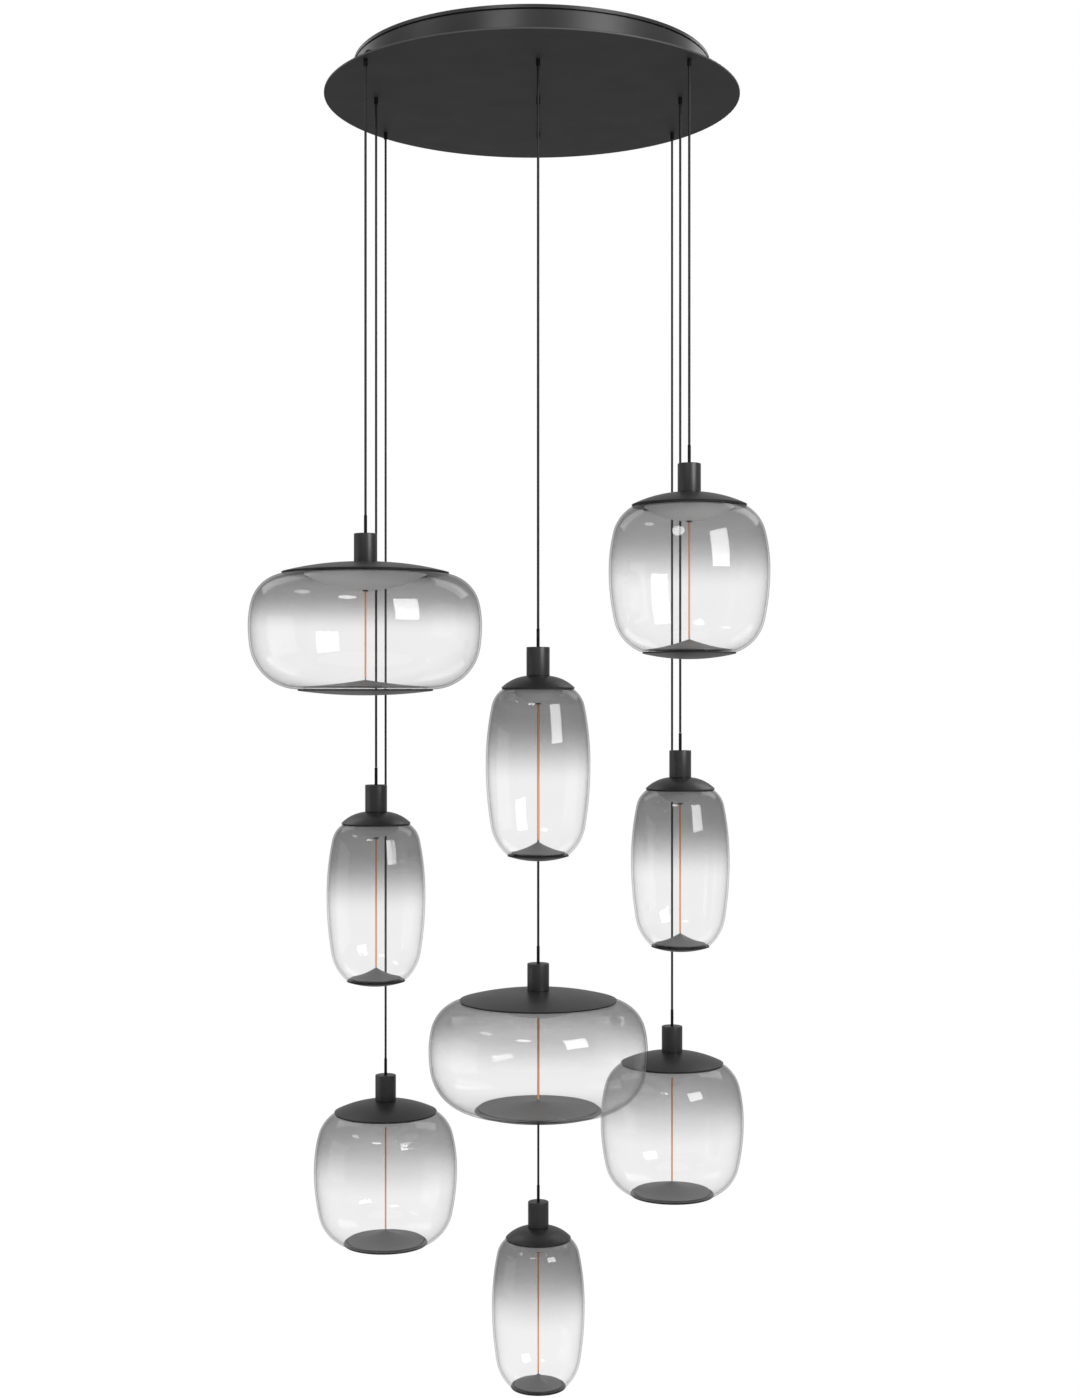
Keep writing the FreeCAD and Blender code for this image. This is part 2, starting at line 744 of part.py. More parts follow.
def cap(form):
    """The spun cap: flat under the lampholder, then one arc out to its thin rim."""
    start, heading, end = cap_of(form)
    inner_start = inset(start, heading, SPUN_WALL)
    arriving = arrival(start, heading, end)
    inner_end = inset(end, arriving, SPUN_WALL)
    bore = TUBE_R + THREAD_CLEARANCE
    flat = HOLDER_HEIGHT + SPUN_WALL
    return turned(
        lines((bore, HOLDER_HEIGHT), start)
        + [arc(start, heading, end)]
        + lines(end, inner_end)
        + [arc(inner_start, heading, inner_end)]
        + lines(inner_start, (inner_start[0] - SPUN_WALL, flat), (bore, flat), (bore, HOLDER_HEIGHT))
    )


def rim_seal(form):
    """The black rubber ring that shows in the gap between the cap and the glass."""
    outer = SHADES[form]["cap_r"] - SEAL_RECESS
    inner = outer - SEAL_WIDTH
    cap_arc = cap_of(form)
    crown_arc = crown_of(form)
    across = (inner, (inner + outer) / 2, outer)
    above = [(r, depth_on_arc(*cap_arc, r, SPUN_WALL) + SEAT_GAP) for r in across]
    below = [(r, depth_on_arc(*crown_arc, r) - SEAT_GAP) for r in across]
    top = Part.Arc(*[on_plane(p) for p in above]).toShape()
    bottom = Part.Arc(*[on_plane(p) for p in below]).toShape()
    return turned([top, bottom, line(above[0], below[0]), line(above[2], below[2])])


def glass_shade(form):
    """Blown glass of one wall: crown under the cap, shoulder, belly, hip and turned-in foot."""
    s = SHADES[form]
    level = levels(form)
    crown, flat, rim = crown_of(form)
    belly = (s["belly_r"], level["belly"])
    foot = (s["foot_r"], level["foot"])
    ledge_r = s["foot_r"] - FOOT_LEDGE
    crown_in = inset(crown, flat, GLASS_WALL)
    hole = [(CROWN_HOLE_R, crown_in[1]), (CROWN_HOLE_R, crown[1])]
    rim_in = inset(rim, s["rim_heading"], GLASS_WALL)
    belly_in = inset(belly, 90, GLASS_WALL)
    foot_in = level["foot_inner"]
    outside = [arc(crown, flat, rim)]
    outside += two_arcs(rim, s["rim_heading"], s["shoulder_heading"], belly, 90)
    outside += two_arcs(belly, 90, s["hip_heading"], foot, s["foot_heading"])
    inside = [arc(crown_in, flat, rim_in)]
    inside += two_arcs(rim_in, s["rim_heading"], s["shoulder_heading"], belly_in, 90)
    inside += two_arcs(belly_in, 90, s["hip_heading"], foot_in, s["foot_heading"])
    ledge = lines(foot, (ledge_r, foot[1]), (ledge_r, foot_in[1]), foot_in)
    return turned(outside + inside + ledge + lines(crown_in, *hole, crown))


def light_unit(form):
    """The dish under the crown, the socket, the filament and its pin, and what seals them in."""
    s = SHADES[form]
    level = levels(form)
    hole = TUBE_BORE_R + THREAD_CLEARANCE
    low = (hole, level["dish"])
    edge = (s["dish_r"], level["glass_rim"])
    arriving = arrival(low, 0, edge)
    top = depth_on_arc(*crown_of(form), s["dish_r"], GLASS_WALL) + DISH_REST_GAP
    low_in = (hole, level["dish"] - SPUN_WALL)
    edge_in = inset(edge, arriving, -SPUN_WALL)
    brim_in = s["dish_r"] - SPUN_WALL
    dish = turned(
        [arc(low, 0, edge)]
        + lines(edge, (s["dish_r"], top), (brim_in, top), edge_in)
        + [arc(low_in, 0, edge_in)]
        + lines(low_in, low)
    )
    stem_r = TUBE_BORE_R - THREAD_CLEARANCE
    face = level["dish"] + SOCKET_HEIGHT
    socket = turned_lines(
        (0, level["dish"] - SOCKET_STEM),
        (stem_r, level["dish"] - SOCKET_STEM),
        (stem_r, level["dish"]),
        (SOCKET_R, level["dish"]),
        (SOCKET_R, face),
        (0, face),
    )
    filament_end = level["cone_tip"] - END_PIN_SHOWN
    filament = rod(FILAMENT_R, face, filament_end)
    pin = rod(END_PIN_R, filament_end, level["cone_tip"] + END_PIN_HIDDEN)
    return [dish, socket, filament, pin, *cone_and_post(form), rim_seal(form), foot_seal(form)]


def foot_arc(form, wall=0.0):
    """Start, heading and end of the arc under the foot cap, or of its parallel inside."""
    s = SHADES[form]
    level = levels(form)
    half = math.atan2(s["foot_cap_depth"], s["foot_r"])
    radius = math.hypot(s["foot_r"], s["foot_cap_depth"]) / 2 / math.sin(half)
    top = level["cap_edge"] + (FOOT_FLANGE if wall else 0.0)
    rise = top - (level["bottom"] - radius)
    end = (math.sqrt((radius - wall) ** 2 - rise**2), top)
    return (0, level["bottom"] - wall), 0.0, end


def foot_cap(form):
    """The lens-shaped cap, spun hollow, with a turned-in flange that meets the seal."""
    low, flat, edge = foot_arc(form)
    low_in, _, flange = foot_arc(form, SPUN_WALL)
    return turned(
        [arc(low, flat, edge)]
        + lines(edge, (flange[0], edge[1]), flange)
        + [arc(low_in, flat, flange)]
        + lines(low_in, low)
    )


def foot_seal(form):
    inner = foot_arc(form, SPUN_WALL)[2][0]
    level = levels(form)
    return ring(inner, SHADES[form]["foot_r"] - SEAL_RECESS, level["foot"], level["cap_edge"])


def cone_and_post(form):
    """The hollow cone that stands on the glass's ledge, and the post down to the foot cap."""
    s = SHADES[form]
    level = levels(form)
    tip = (CONE_TIP_R, level["cone_tip"])
    base = level["foot_inner"][1]
    brim = (s["foot_r"] - CONE_INSET, base - SPUN_WALL)
    slope = math.degrees(math.atan2(brim[1] - tip[1], brim[0] - tip[0]))
    heading = CONE_TIP_STEEPNESS * slope
    tip_in = inset(tip, heading, SPUN_WALL)
    brim_in = inset(brim, arrival(tip, heading, brim), SPUN_WALL)
    cone = turned(
        [arc(tip, heading, brim)]
        + lines(brim, (brim[0], base), brim_in)
        + [arc(tip_in, heading, brim_in)]
        + lines(tip_in, tip)
    )
    post_top = depth_on_arc(tip, heading, brim, POST_R, SPUN_WALL) + SEAT_GAP
    post_foot = depth_on_arc(*foot_arc(form), POST_R, -SPUN_WALL) - SEAT_GAP
    return [cone, ring(END_PIN_R, POST_R, post_top, post_foot)]


def hanging_cord(drop):
    """The free length of one cord, straight from its gland to the lampholder's grip."""
    top = -GLAND_MOUTH + CORD_END_GAP
    return rod(CORD_R, top, drop - GRIP_LENGTH - CORD_END_GAP)


# ----------------------------------------------------------------------------- export


def save(name, solids):
    shape = Part.makeCompound(solids)
    for solid in solids:
        if not solid.isValid() or solid.Volume <= 0 or len(solid.Solids) != 1:
            print(f"CHECK {name}: valid {solid.isValid()}, volume {solid.Volume:.1f}")
    shape.exportStep(f"parts/{name}.step")


os.makedirs("parts", exist_ok=True)

save("ceiling_plate", ceiling_plate())
save("entry_grommet", entry_grommet())
save("canopy_drum", canopy_drum())
save("grub_screws", grub_screws())
save("wall_grommets", wall_grommets())
save("canopy_plate", canopy_plate())
save("canopy_nuts", canopy_nuts())
save("cord_glands", cord_glands())
save("gland_nuts", gland_nuts())
save("cord_tails", cord_tails())
save("terminal_strip", terminal_strip())
save("led_driver", led_driver())
save("driver_screws", driver_screws())
save("driver_lead", driver_lead())

pieces = {
    form: {
        "lampholder": lampholder(form),
        "glass_shade": [glass_shade(form)],
        "light_unit": light_unit(form),
        "foot_cap": [foot_cap(form)],
    }
    for form in SHADES
}
for row, column, form, drop, _, _ in PENDANTS:
    x, y = where(row, column)
    cord = hanging_cord(drop).translated(Vector(x, y, 0))
    print(f"cord {row} {column}: length {cord.BoundBox.ZLength:.1f}")
    save(f"cord_{row}_{column}", [cord])
    for name, solids in pieces[form].items():
        placed = [solid.translated(Vector(x, y, -drop)) for solid in solids]
        save(f"{name}_{row}_{column}", placed)
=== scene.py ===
import bpy
import math
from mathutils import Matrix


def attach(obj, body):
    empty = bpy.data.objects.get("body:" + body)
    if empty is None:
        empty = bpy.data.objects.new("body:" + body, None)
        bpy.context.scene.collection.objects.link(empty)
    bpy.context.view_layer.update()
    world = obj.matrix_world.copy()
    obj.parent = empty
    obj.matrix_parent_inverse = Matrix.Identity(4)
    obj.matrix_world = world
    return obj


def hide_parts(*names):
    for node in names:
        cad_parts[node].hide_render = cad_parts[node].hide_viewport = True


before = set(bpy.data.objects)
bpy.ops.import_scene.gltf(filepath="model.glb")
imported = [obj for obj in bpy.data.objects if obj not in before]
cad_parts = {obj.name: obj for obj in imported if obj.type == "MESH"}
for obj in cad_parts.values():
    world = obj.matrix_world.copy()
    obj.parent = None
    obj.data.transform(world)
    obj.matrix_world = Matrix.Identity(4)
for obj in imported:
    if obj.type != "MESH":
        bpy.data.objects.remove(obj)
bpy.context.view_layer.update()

# --------------------------------------------------------------------------------------
# The studio: a white surround, a plain pale floor 2.6 m under the ceiling, soft boxes, two
# small oval lamps, and the camera, which stands level with the middle of the cluster.

CAMERA_RIGHT = 0.0116
CAMERA_DISTANCE = 2.815
CAMERA_DEPTH = 0.916
FLOOR_DEPTH = 2.6
FLOOR_REACH = 9.0
FLOOR_PAINT = 0.1
LAMP_DISTANCE = 4.0
LAMP_AIM_DEPTH = 1.0  # the lamps face the axis at this depth under the ceiling

scene = bpy.context.scene
scene.view_settings.view_transform = "Standard"

camera = bpy.data.objects.new("camera", bpy.data.cameras.new("camera"))
camera.data.lens = 50
camera.data.sensor_width = 36
camera.location = (CAMERA_RIGHT, -CAMERA_DISTANCE, -CAMERA_DEPTH)
camera.rotation_euler = (math.radians(90), 0, 0)
scene.collection.objects.link(camera)
scene.camera = camera


def level_for_rays(tree, seen, diffuse, glossy):
    """A brightness for what the camera sees, what lights the pieces and what they reflect."""
    rays = tree.nodes.new("ShaderNodeLightPath")
    direct = tree.nodes.new("ShaderNodeMath")
    direct.operation = "MAXIMUM"
    lit = tree.nodes.new("ShaderNodeMapRange")
    lit.inputs["To Min"].default_value = diffuse
    lit.inputs["To Max"].default_value = glossy
    level = tree.nodes.new("ShaderNodeMapRange")
    level.inputs["To Max"].default_value = seen
    tree.links.new(rays.outputs["Is Camera Ray"], direct.inputs[0])
    tree.links.new(rays.outputs["Is Transmission Ray"], direct.inputs[1])
    tree.links.new(rays.outputs["Is Glossy Ray"], lit.inputs["Value"])
    tree.links.new(direct.outputs["Value"], level.inputs["Value"])
    tree.links.new(lit.outputs["Result"], level.inputs["To Min"])
    return level.outputs["Result"]


surround = bpy.data.worlds.new("white_surround")
surround.use_nodes = True
scene.world = surround
backdrop = surround.node_tree.nodes["Background"]
backdrop.inputs["Color"].default_value = (1, 1, 1, 1)
strength = level_for_rays(surround.node_tree, 1.0, 0.85, 0.45)
surround.node_tree.links.new(strength, backdrop.inputs["Strength"])

corners = [(-1, -1), (1, -1), (1, 1), (-1, 1)]
floor_mesh = bpy.data.meshes.new("floor")
floor_mesh.from_pydata(
    [(x * FLOOR_REACH, y * FLOOR_REACH, -FLOOR_DEPTH) for x, y in corners], [], [(0, 1, 2, 3)]
)
floor = bpy.data.objects.new("floor", floor_mesh)
scene.collection.objects.link(floor)

# pale paint and a glow on its upper side; a view from below looks through it
pale = bpy.data.materials.new("pale_floor")
pale.use_nodes = True
floor_mesh.materials.append(pale)
nodes = pale.node_tree.nodes
link = pale.node_tree.links.new
nodes.remove(nodes["Principled BSDF"])
paint = nodes.new("ShaderNodeBsdfDiffuse")
paint.inputs["Color"].default_value = (FLOOR_PAINT, FLOOR_PAINT, FLOOR_PAINT, 1)
glow = nodes.new("ShaderNodeEmission")
both = nodes.new("ShaderNodeAddShader")
side = nodes.new("ShaderNodeNewGeometry")
clear = nodes.new("ShaderNodeBsdfTransparent")
pick = nodes.new("ShaderNodeMixShader")
link(level_for_rays(pale.node_tree, 0.912, 0.72, 0.31), glow.inputs["Strength"])
link(paint.outputs["BSDF"], both.inputs[0])
link(glow.outputs["Emission"], both.inputs[1])
link(side.outputs["Backfacing"], pick.inputs["Fac"])
link(both.outputs["Shader"], pick.inputs[1])
link(clear.outputs["BSDF"], pick.inputs[2])
link(pick.outputs["Shader"], nodes["Material Output"].inputs["Surface"])


def studio_lamp(name, shape, azimuth, elevation, width, height, power):
    """A lamp that faces the cluster. Azimuth 0 is the camera's side, 90 the right."""
    lamp = bpy.data.lights.new(name, "AREA")
    lamp.shape = shape
    lamp.size = width
    lamp.size_y = height
    lamp.energy = power
    turn = math.radians(azimuth)
    rise = math.radians(elevation)
    holder = bpy.data.objects.new(name, lamp)
    holder.location = (
        LAMP_DISTANCE * math.cos(rise) * math.sin(turn),
        -LAMP_DISTANCE * math.cos(rise) * math.cos(turn),
        LAMP_DISTANCE * math.sin(rise) - LAMP_AIM_DEPTH,
    )
    holder.rotation_euler = (math.radians(90) - rise, 0, turn)
    scene.collection.objects.link(holder)


studio_lamp("window_box", "RECTANGLE", 42, 18, 1.7, 1.6, 90)
studio_lamp("right_strip", "RECTANGLE", 132, 38, 1.6, 2.2, 20)
studio_lamp("left_strip", "RECTANGLE", -132, 38, 1.4, 2.2, 12)
studio_lamp("left_box", "RECTANGLE", -84, -6, 2.6, 2.2, 13)
studio_lamp("round_lamp", "ELLIPSE", -17, 31, 1.1, 0.5, 14)
studio_lamp("small_lamp", "ELLIPSE", -70, 38, 1.1, 0.55, 7)

# --------------------------------------------------------------------------------------
# Nine black cords: PVC-sheathed cable, 3.4 mm thick, straight from the gland under the
# canopy to the grip on the lampholder.

COLUMNS = {"left": -0.225, "centre": 0.009, "right": 0.214}
ROWS = {"front": -0.182, "middle": -0.0123, "back": 0.1609}

# row, column, form of the shade, depth of the lampholder's top under the ceiling
PENDANTS = [
    ("front", "left", "wide", 0.6916),
    ("front", "right", "square", 0.5966),
    ("front", "centre", "tall", 0.8455),
    ("middle", "left", "tall", 1.0397),
    ("middle", "right", "tall", 0.990),
    ("middle", "centre", "wide", 1.2974),
    ("back", "right", "square", 1.417),
    ("back", "left", "square", 1.4918),
    ("back", "centre", "tall", 1.686),
]
CORD_DIAMETER = 0.0034
GLAND_MOUTH = -0.058
GRIP_LENGTH = 0.025
END_GAP = 0.0003  # room for the cord to tilt at both its ends
CLOUD_SCALE = 18  # patches per metre in a finish's sheen
GRAIN_HEIGHT = 0.0002


def plain_finish(
    name, color, roughness, grain=900.0, depth=0.05, spread=0.06, gloss=0.5, metal=0.0
):
    """A finish with a fine grain in its surface and a slight cloudiness in its sheen."""
    finish = bpy.data.materials.new(name)
    finish.use_nodes = True
    nodes = finish.node_tree.nodes
    link = finish.node_tree.links.new
    shader = nodes["Principled BSDF"]
    shader.inputs["Base Color"].default_value = (*color, 1)
    shader.inputs["Metallic"].default_value = metal
    shader.inputs["Specular IOR Level"].default_value = gloss
    place = nodes.new("ShaderNodeTexCoord")
    cloud = nodes.new("ShaderNodeTexNoise")
    cloud.inputs["Scale"].default_value = CLOUD_SCALE
    level = nodes.new("ShaderNodeMapRange")
    level.inputs["To Min"].default_value = roughness - spread
    level.inputs["To Max"].default_value = roughness + spread
    fine = nodes.new("ShaderNodeTexNoise")
    fine.inputs["Scale"].default_value = grain
    bump = nodes.new("ShaderNodeBump")
    bump.inputs["Strength"].default_value = depth
    bump.inputs["Distance"].default_value = GRAIN_HEIGHT
    link(place.outputs["Object"], cloud.inputs["Vector"])
    link(place.outputs["Object"], fine.inputs["Vector"])
    link(cloud.outputs["Fac"], level.inputs["Value"])
    link(level.outputs["Result"], shader.inputs["Roughness"])
    link(fine.outputs["Fac"], bump.inputs["Height"])
    link(bump.outputs["Normal"], shader.inputs["Normal"])
    return finish


def finish_node(node, finish):
    """Gives a carried-over piece of the frame its finish."""
    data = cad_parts[node].data
    data.materials.clear()
    data.materials.append(finish)


cord_sheath = plain_finish("cord_sheath", (0.008, 0.008, 0.0085), 0.42, depth=0.0, gloss=0.25)

for row, column, form, drop in PENDANTS:
    x, y = COLUMNS[column], ROWS[row]
    top, bottom = GLAND_MOUTH - END_GAP, -(drop - GRIP_LENGTH) + END_GAP
    line = bpy.data.curves.new(f"cord_line_{row}_{column}", "CURVE")
    line.dimensions = "3D"
    line.bevel_depth = CORD_DIAMETER / 2
    line.bevel_resolution = 4
    line.materials.append(cord_sheath)
    run = line.splines.new("NURBS")
    run.points.add(2)
    for point, height in zip(run.points, (top, (top + bottom) / 2, bottom)):
        point.co = (x, y, height, 1)
    run.order_u = 3
    run.use_endpoint_u = True
    cord = bpy.data.objects.new(f"hanging_cord_{row}_{column}", line)
    scene.collection.objects.link(cord)
    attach(cord, f"hanger_{row}_{column}")
    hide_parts(f"cord_{row}_{column}")

# --------------------------------------------------------------------------------------
# The canopy: a ceiling plate, a rolled drum and a flat disc of steel, powder coated in
# satin black, with cord glands under the disc, and the driver and the wiring inside.

FACE_GLOSS = 0.2
EDGE_GLOSS = 1.0

satin_black = plain_finish("satin_black", (0.014, 0.014, 0.015), 0.36, grain=1400, depth=0.05)
disc_black = plain_finish(
    "disc_black", (0.02, 0.02, 0.021), 0.6, grain=1400, depth=0.08, gloss=FACE_GLOSS
)
for node in ("ceiling_plate", "canopy_drum"):
    finish_node(node, satin_black)
finish_node("canopy_plate", disc_black)

# the disc's rolled edge is smoother than its faces, so it catches the light as a thin line
tree = disc_black.node_tree
shader = tree.nodes["Principled BSDF"]
lie = tree.nodes.new("ShaderNodeNewGeometry")
upright = tree.nodes.new("ShaderNodeSeparateXYZ")
level = tree.nodes.new("ShaderNodeMath")
level.operation = "ABSOLUTE"
edge_gloss = tree.nodes.new("ShaderNodeMapRange")
edge_gloss.inputs["To Min"].default_value = EDGE_GLOSS
edge_gloss.inputs["To Max"].default_value = FACE_GLOSS
tree.links.new(lie.outputs["True Normal"], upright.inputs["Vector"])
tree.links.new(upright.outputs["Z"], level.inputs[0])
tree.links.new(level.outputs["Value"], edge_gloss.inputs["Value"])
tree.links.new(edge_gloss.outputs["Result"], shader.inputs["Specular IOR Level"])

gland_plastic = plain_finish("gland_plastic", (0.004, 0.004, 0.004), 0.55, depth=0.02, gloss=0.12)
for node in ("cord_glands", "gland_nuts"):
    finish_node(node, gland_plastic)
for node in ("cord_tails", "driver_lead"):
    finish_node(node, cord_sheath)

seal_rubber = plain_finish("seal_rubber", (0.008, 0.008, 0.008), 0.75, grain=700)
for node in ("entry_grommet", "wall_grommets"):
    finish_node(node, seal_rubber)

zinc = plain_finish("zinc_plate", (0.42, 0.42, 0.44), 0.35, metal=1.0)
for node in ("grub_screws", "canopy_nuts", "driver_screws"):
    finish_node(node, zinc)

strip_plastic = plain_finish("strip_plastic", (0.72, 0.72, 0.68), 0.5)
finish_node("terminal_strip", strip_plastic)
driver_plastic = plain_finish("driver_plastic", (0.78, 0.78, 0.78), 0.5)
finish_node("led_driver", driver_plastic)

# --------------------------------------------------------------------------------------
# The lampholders: a turned cord grip, a cylindrical cup with softened edges and, under
# it, a cap spun from sheet, all satin black. A rubber seal sits in the cap's rim.

WALL = 0.0012
STEPS = 96
SHARP_ANGLE = 28
GRIP_R = 0.0022
GRIP_ROUND = 0.0003
GRIP_SUNK = 0.0012  # in the cup's top
CUP_R = 0.0158
CUP_HEIGHT = 0.039
CUP_TOP = 0.0015
CUP_ROUND = 0.001
CUP_FOOT_ROUND = 0.0006
TUBE_HOLE_R = 0.00405
SEAL_WIDTH = 0.004
SEAL_INSET = 0.001
SEAL_LAP = 0.0005  # how far the seal reaches up inside the cap's rim
SEAL_SLOPE = 0.001  # its top falls by this much outward, as the cap does
SEAL_CLEAR_OUT = 0.0006  # its underside over the glass's rim, at its outer and inner edge
SEAL_CLEAR_IN = 0.003


def arc_points(start, turns, wall=0.0, count=10):
    """Points along tangent arcs, (radius, heading at its end), or along their parallel.

    start is (distance from the axis, depth, heading). Headings are in degrees: 0 runs
    outward, 90 down and 180 inward.
    """
    r, depth, heading = start
    here = math.radians(heading)
    points = [(r - wall * math.sin(here), depth + wall * math.cos(here))]
    for radius, end in turns:
        goal = math.radians(end)
        for i in range(1, count + 1):
            now = here + (goal - here) * i / count
            out = r + radius * (math.sin(now) - math.sin(here))
            down = depth + radius * (math.cos(here) - math.cos(now))
            points.append((out - wall * math.sin(now), down + wall * math.cos(now)))
        r += radius * (math.sin(goal) - math.sin(here))
        depth += radius * (math.cos(here) - math.cos(goal))
        here = goal
    return points


def single_arc(start, heading, end):
    """The one arc that leaves start at heading and reaches end, as a start and turns."""
    chord = math.atan2(end[1] - start[1], end[0] - start[0])
    half = chord - math.radians(heading)
    radius = math.hypot(end[0] - start[0], end[1] - start[1]) / 2 / math.sin(half)
    return (*start, heading), [(radius, heading + 2 * math.degrees(half))]


def turned_mesh(name, outline, finish):
    """The closed outline, in distances from the axis and depths, turned into a mesh."""
    verts = []
    faces = []
    rings = []
    for r, depth in outline:
        if r < 1e-6:
            rings.append([len(verts)] * STEPS)
            verts.append((0, 0, -depth))
        else:
            rings.append(list(range(len(verts), len(verts) + STEPS)))
            for i in range(STEPS):
                turn = 2 * math.pi * i / STEPS
                verts.append((r * math.cos(turn), r * math.sin(turn), -depth))
    for upper, lower in zip(rings, rings[1:] + rings[:1]):
        for i in range(STEPS):
            j = (i + 1) % STEPS
            corners = [upper[i], lower[i], lower[j], upper[j]]
            corners = [c for n, c in enumerate(corners) if c not in corners[:n]]
            if len(corners) > 2:
                faces.append(corners)
    mesh = bpy.data.meshes.new(name)
    mesh.from_pydata(verts, [], faces)
    mesh.materials.append(finish)
    mesh.shade_smooth()
    mesh.set_sharp_from_angle(angle=math.radians(SHARP_ANGLE))
    return mesh


def hang(mesh, name, pendant, node=None):
    """Puts a turned piece on its pendant's axis, in place of a node if one is named."""
    row, column, _, drop = pendant
    piece = bpy.data.objects.new(f"{name}_{row}_{column}", mesh)
    piece.location = (COLUMNS[column], ROWS[row], -drop)
    scene.collection.objects.link(piece)
    bpy.context.view_layer.update()
    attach(piece, f"lamp_{row}_{column}")
    if node:
        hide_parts(f"{node}_{row}_{column}")
    return piece


grip_mesh = turned_mesh(
    "cord_grip",
    [
        (0, -GRIP_LENGTH),
        (GRIP_R - GRIP_ROUND, -GRIP_LENGTH),
        (GRIP_R, GRIP_ROUND - GRIP_LENGTH),
        (GRIP_R, GRIP_SUNK),
        (0, GRIP_SUNK),
    ],
    gland_plastic,
)
cup_mesh = turned_mesh(
    "holder_cup",
    [(GRIP_R, 0)]
    + arc_points((CUP_R - CUP_ROUND, 0, 0), [(CUP_ROUND, 90)], count=5)
    + arc_points((CUP_R, CUP_HEIGHT - CUP_FOOT_ROUND, 90), [(CUP_FOOT_ROUND, 180)], count=4)
    + [(CUP_R - WALL, CUP_HEIGHT), (CUP_R - WALL, CUP_TOP), (GRIP_R, CUP_TOP)],
    satin_black,
)

# radius and drop of the cap's rim, its heading under the holder, gap to the glass's rim
CAPS = {
    "tall": (0.0499, 0.0161, 5.5, 0.0032),
    "square": (0.0782, 0.0169, 4.5, 0.0035),
    "wide": (0.1134, 0.0136, 0.8, 0.0030),
}
cap_meshes = {}
seal_meshes = {}
GLASS_RIM = {}
for form, (cap_r, cap_drop, heading, gap) in CAPS.items():
    GLASS_RIM[form] = CUP_HEIGHT + cap_drop + gap
    start, turns = single_arc((CUP_R, CUP_HEIGHT), heading, (cap_r, CUP_HEIGHT + cap_drop))
    cap_meshes[form] = turned_mesh(
        f"spun_cap_{form}",
        [(TUBE_HOLE_R, CUP_HEIGHT)]
        + arc_points(start, turns, count=24)
        + arc_points(start, turns, WALL, 24)[::-1]
        + [(TUBE_HOLE_R, CUP_HEIGHT + WALL)],
        satin_black,
    )
    seal_top = CUP_HEIGHT + cap_drop - SEAL_LAP
    seal_meshes[form] = turned_mesh(
        f"rim_seal_{form}",
        [
            (cap_r - SEAL_INSET - SEAL_WIDTH, seal_top),
            (cap_r - SEAL_INSET, seal_top + SEAL_SLOPE),
            (cap_r - SEAL_INSET, GLASS_RIM[form] - SEAL_CLEAR_OUT),
            (cap_r - SEAL_INSET - SEAL_WIDTH, GLASS_RIM[form] - SEAL_CLEAR_IN),
        ],
        seal_rubber,
    )
for pendant in PENDANTS:
    form = pendant[2]
    hang(grip_mesh, "cord_grip", pendant)
    hang(cup_mesh, "holder_cup", pendant, "lampholder")
    hang(cap_meshes[form], "spun_cap", pendant)
    hang(seal_meshes[form], "rim_seal", pendant)

# --------------------------------------------------------------------------------------
# The shades: glass blown in a mould, 2.5 mm thick and open at both ends. Smoke colour
# sprayed at the crown fades out at about mid-height.

GLASS = 0.0025
CROWN_HOLE = 0.005
CROWN_FLAT = 0.024
LEDGE = 0.009
FADE = {"tall": 0.57, "square": 0.56, "wide": 0.5}  # of the shade's height
SMOKE = {"tall": 0.665, "square": 0.715, "wide": 0.705}  # light passed by one face at the crown
SMOKE_FADES_AT = 0.25  # of the fade's height, where the smoke is SMOKE_THINNED lighter
SMOKE_THINNED = 0.03
CLEAR = 0.985
EDGE_FROM = 0.86  # facing value from which the wall, seen edge on, is darkened with painted shade in place of refraction
EDGE_PAINTED_SHADE = 0.5
SHEEN_ROUGHNESS = 0.035
SHEEN_FACING = 0.035  # share of light mirrored by glass seen face on, and seen edge on
SHEEN_GRAZING = 0.7
SHEEN_FALLOFF = 5.0

# rim radius, then (radius, heading at its end) from rim to foot, crown arc's end heading
MOULDS = {
    "tall": (0.0498, 38.5, [(0.0372, 78.5), (0.3929, 90), (0.5218, 99.2), (0.0664, 139.2)]),
    "square": (0.0787, 31.6, [(0.0544, 76.3), (0.2173, 90), (0.3186, 102.5), (0.0588, 160.3)]),
    "wide": (0.1149, 11.8, [(0.0514, 76.5), (0.1309, 90), (0.1997, 98.7), (0.0670, 177.6)]),
}


